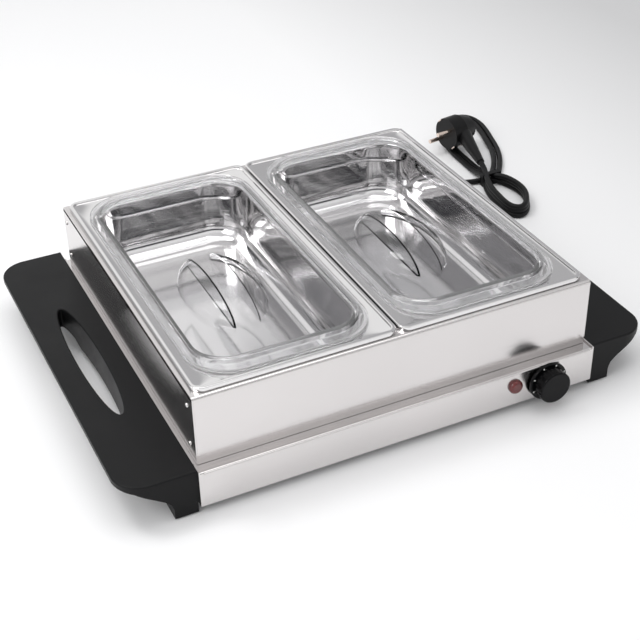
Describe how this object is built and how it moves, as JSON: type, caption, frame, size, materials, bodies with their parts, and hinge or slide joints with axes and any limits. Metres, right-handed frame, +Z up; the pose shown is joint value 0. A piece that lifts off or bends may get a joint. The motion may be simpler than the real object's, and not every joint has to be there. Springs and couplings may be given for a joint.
{
  "type": "steam_table_unit",
  "caption": "Tabletop electric warming tray with black handles, a riveted steel rack, food pans with clear lids, a control knob and a tied lead",
  "frame": {"origin": "on the table, under the middle of the unit without its lead", "axes": "+X along the longer side towards the knob's end, -Y towards the person who serves (the knob side), +Z up"},
  "size_m": [0.6257, 0.5433, 0.1134],
  "materials": {
    "stainless_sheet": "thin bright stainless sheet, lightly brushed",
    "pan_steel": "bright polished stainless",
    "clear_lid": "clear moulded plastic, glossy",
    "handle_plastic": "satin black moulded plastic",
    "knob_plastic": "glossy black moulded plastic",
    "pointer_white": "white printed marks",
    "lamp_red": "dark red translucent lens",
    "rivet_steel": "bright rivet",
    "cover_steel": "plain galvanised sheet",
    "element_steel": "dull heat-tinted sheath",
    "screw_steel": "zinc-plated screws",
    "reflector_aluminium": "bright mill finish",
    "copper": "bare copper",
    "cream_moulding": "cream thermoset moulding",
    "foot_rubber": "black rubber",
    "cord_rubber": "black flexible lead sheath",
    "plug_plastic": "black moulded plug",
    "pin_metal": "nickel-plated brass",
    "wire_brown": "brown insulated wire",
    "wire_blue": "blue insulated wire",
    "wire_green": "green and yellow insulated wire"
  },
  "bodies": {
    "base": {"warming_tray": "stainless_sheet", "tray_side_left": "stainless_sheet", "tray_side_right": "stainless_sheet", "bottom_cover": "cover_steel", "cover_screws": "screw_steel", "heating_element": "element_steel", "element_clips": "screw_steel", "reflector_sheet": "reflector_aluminium", "reflector_spacers": "screw_steel", "thermostat_body": "cream_moulding", "thermostat_nut": "screw_steel", "sensor_bulb": "copper", "sensor_capillary": "copper", "pilot_lens": "lamp_red", "pilot_lamp_body": "cream_moulding", "terminal_block": "cream_moulding", "earth_stud": "screw_steel", "wire_live": "wire_brown", "wire_neutral": "wire_blue", "wire_earth": "wire_green", "wire_thermostat": "wire_brown", "wire_lamp": "wire_brown", "wire_element": "wire_blue", "handle_left": "handle_plastic", "handle_right": "handle_plastic", "handle_screws": "screw_steel", "foot_pads": "foot_rubber", "strain_relief": "cord_rubber", "power_cord_lead": "cord_rubber", "power_cord_hank": "cord_rubber", "power_cord_tail": "cord_rubber", "cord_tie": "cord_rubber", "plug_body": "plug_plastic", "plug_pins": "pin_metal", "plug_earth_contacts": "pin_metal"},
    "rack": {"rack_frame": "stainless_sheet", "rack_side_left": "stainless_sheet", "rack_side_right": "stainless_sheet", "rack_rivets": "rivet_steel"},
    "pan_left_body": {"pan_left": "pan_steel"},
    "pan_right_body": {"pan_right": "pan_steel"},
    "lid_left_body": {"lid_left": "clear_lid"},
    "lid_right_body": {"lid_right": "clear_lid"},
    "knob": {"control_knob": "knob_plastic", "knob_marks": "pointer_white", "thermostat_shaft": "screw_steel"}
  },
  "joints": [
    {"name": "rack_lift", "type": "slide", "parent": "base", "child": "rack", "axis": [0, 0, 1], "range_m": [0, 0.12]},
    {"name": "pan_left_lift", "type": "slide", "parent": "rack", "child": "pan_left_body", "axis": [0, 0, 1], "range_m": [0, 0.09]},
    {"name": "pan_right_lift", "type": "slide", "parent": "rack", "child": "pan_right_body", "axis": [0, 0, 1], "range_m": [0, 0.09]},
    {"name": "lid_left_lift", "type": "slide", "parent": "pan_left_body", "child": "lid_left_body", "axis": [0, 0, 1], "range_m": [0, 0.06]},
    {"name": "lid_right_lift", "type": "slide", "parent": "pan_right_body", "child": "lid_right_body", "axis": [0, 0, 1], "range_m": [0, 0.06]},
    {"name": "thermostat_turn", "type": "hinge", "parent": "base", "child": "knob", "pos_m": [0.135, -0.18, 0.0246], "axis": [0, -1, 0], "range_deg": [0, 270]}
  ]
}
